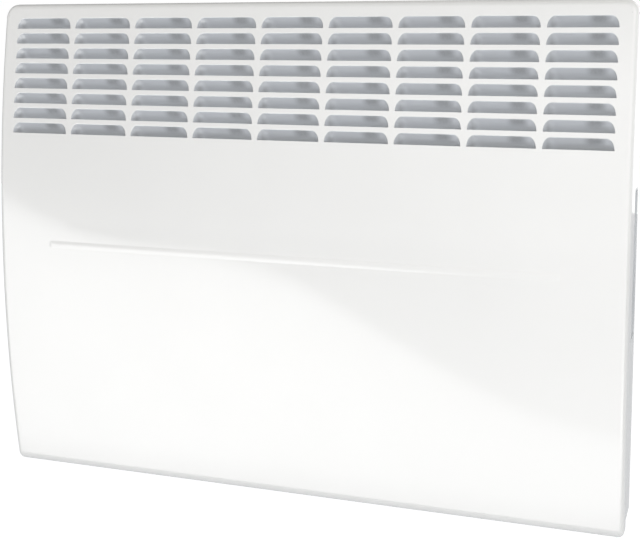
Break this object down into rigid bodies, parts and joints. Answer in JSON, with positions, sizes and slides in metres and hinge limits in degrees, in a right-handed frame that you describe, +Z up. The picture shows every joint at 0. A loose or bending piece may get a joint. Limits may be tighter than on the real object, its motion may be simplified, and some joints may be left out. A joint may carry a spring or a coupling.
{
  "type": "panel convector heater",
  "caption": "Wall-hung electric panel convector with a bowed louvred steel front, finned element, side controls and wall bracket.",
  "frame": {"origin": "on the flat back face of the wall bracket's upper rail, half way along it, in the plane of the wall", "axes": "+Z up, +Y into the wall, -Y out of the heater's front, +X to the right as seen from the front"},
  "size_m": [0.592, 0.0982, 0.451],
  "materials": {
    "white_enamel": "gloss baked enamel on pressed steel sheet",
    "zinc_steel": "satin zinc-coated steel sheet",
    "bright_aluminium": "mill-bright aluminium",
    "plated_steel": "zinc-plated steel",
    "steatite": "unglazed pressed steatite",
    "white_plastic": "moulded white thermoplastic",
    "black_plastic": "moulded black thermoset",
    "black_rubber": "moulded rubber",
    "board_green": "solder-masked glass laminate",
    "amber_lens": "clear amber acrylic",
    "silicone_sleeve": "silicone-sleeved wire"
  },
  "bodies": {
    "heater": {"air_deflector": "bright_aluminium", "back_casing": "white_enamel", "board_screw_1": "plated_steel", "board_screw_2": "plated_steel", "board_screw_3": "plated_steel", "board_screw_4": "plated_steel", "bracket_rail_lower": "zinc_steel", "bracket_rail_upper": "zinc_steel", "bracket_upright_left": "zinc_steel", "bracket_upright_right": "zinc_steel", "cable_grommet": "black_rubber", "casing_screw_1": "plated_steel", "casing_screw_2": "plated_steel", "casing_screw_3": "plated_steel", "casing_screw_4": "plated_steel", "circuit_board": "board_green", "control_bezel": "white_plastic", "control_partition": "zinc_steel", "control_relay": "black_plastic", "cutout_lead": "silicone_sleeve", "deflector_screw_1": "plated_steel", "deflector_screw_2": "plated_steel", "element_lead_left": "silicone_sleeve", "element_lead_right": "silicone_sleeve", "element_support_left": "zinc_steel", "element_support_right": "zinc_steel", "front_panel": "white_enamel", "front_screw_1": "plated_steel", "front_screw_2": "plated_steel", "front_screw_3": "plated_steel", "front_screw_4": "plated_steel", "heating_element_fins": "bright_aluminium", "heating_rod": "plated_steel", "indicator_lens": "amber_lens", "insulating_bush_left": "steatite", "insulating_bush_right": "steatite", "partition_screw_1": "plated_steel", "partition_screw_2": "plated_steel", "potentiometer_body": "zinc_steel", "room_sensor": "black_plastic", "side_plate_left": "white_enamel", "side_plate_right": "white_enamel", "support_screw_1": "plated_steel", "support_screw_2": "plated_steel", "support_screw_3": "plated_steel", "support_screw_4": "plated_steel", "switch_body": "black_plastic", "terminal_block": "white_plastic", "thermal_cutout": "black_plastic"},
    "knob": {"thermostat_knob": "white_plastic", "potentiometer_shaft": "plated_steel"},
    "rocker": {"power_rocker": "black_plastic"},
    "lock_left": {"bracket_lock_left": "plated_steel"},
    "lock_right": {"bracket_lock_right": "plated_steel"}
  },
  "joints": [
    {"name": "thermostat_turn", "type": "hinge", "parent": "heater", "child": "knob", "pos_m": [0.2812, -0.043, -0.072], "axis": [-1, 0, 0], "range_deg": [0, 270]},
    {"name": "power_rock", "type": "hinge", "parent": "heater", "child": "rocker", "pos_m": [0.2775, -0.043, -0.134], "axis": [0, -1, 0], "range_deg": [0, 16]},
    {"name": "lock_left_turn", "type": "hinge", "parent": "heater", "child": "lock_left", "pos_m": [-0.13, -0.0085, 0.074], "axis": [0, 0, 1], "range_deg": [0, 90]},
    {"name": "lock_right_turn", "type": "hinge", "parent": "heater", "child": "lock_right", "pos_m": [0.13, -0.0085, 0.074], "axis": [0, 0, -1], "range_deg": [0, 90]}
  ]
}
